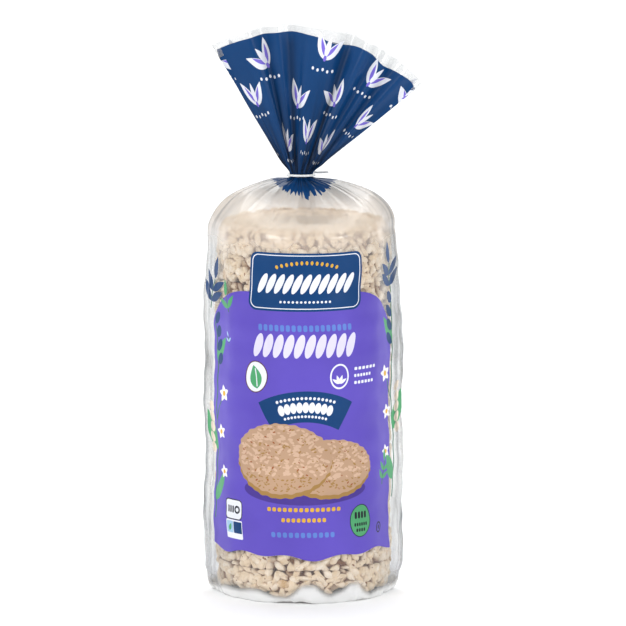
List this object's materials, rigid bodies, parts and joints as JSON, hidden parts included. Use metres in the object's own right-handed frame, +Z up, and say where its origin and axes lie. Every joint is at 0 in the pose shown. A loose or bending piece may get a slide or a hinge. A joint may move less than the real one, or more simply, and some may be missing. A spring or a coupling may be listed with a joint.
{
  "type": "bag of puffed rice cakes",
  "caption": "Clear film bag wrapped round a stack of round puffed rice cakes, gathered by a wire tie into a pleated fan, standing on its flat base.",
  "frame": {"origin": "on the axis of the stack of cakes, in the plane the bag stands on", "axes": "+Z up the stack to the fan, -Y out of the printed front, +X to the right as seen from the front"},
  "size_m": [0.1223, 0.0983, 0.3172],
  "materials": {
    "film": "clear polypropylene film, glossy, creased",
    "print": "flat violet, navy and cream inks printed inside the film, under its gloss",
    "rice_cake": "dry puffed grain, matt and slightly translucent",
    "tie": "white plastic coating over a thin wire"
  },
  "bodies": {
    "root": {"bag": "film", "tie": "tie"}
  },
  "joints": []
}
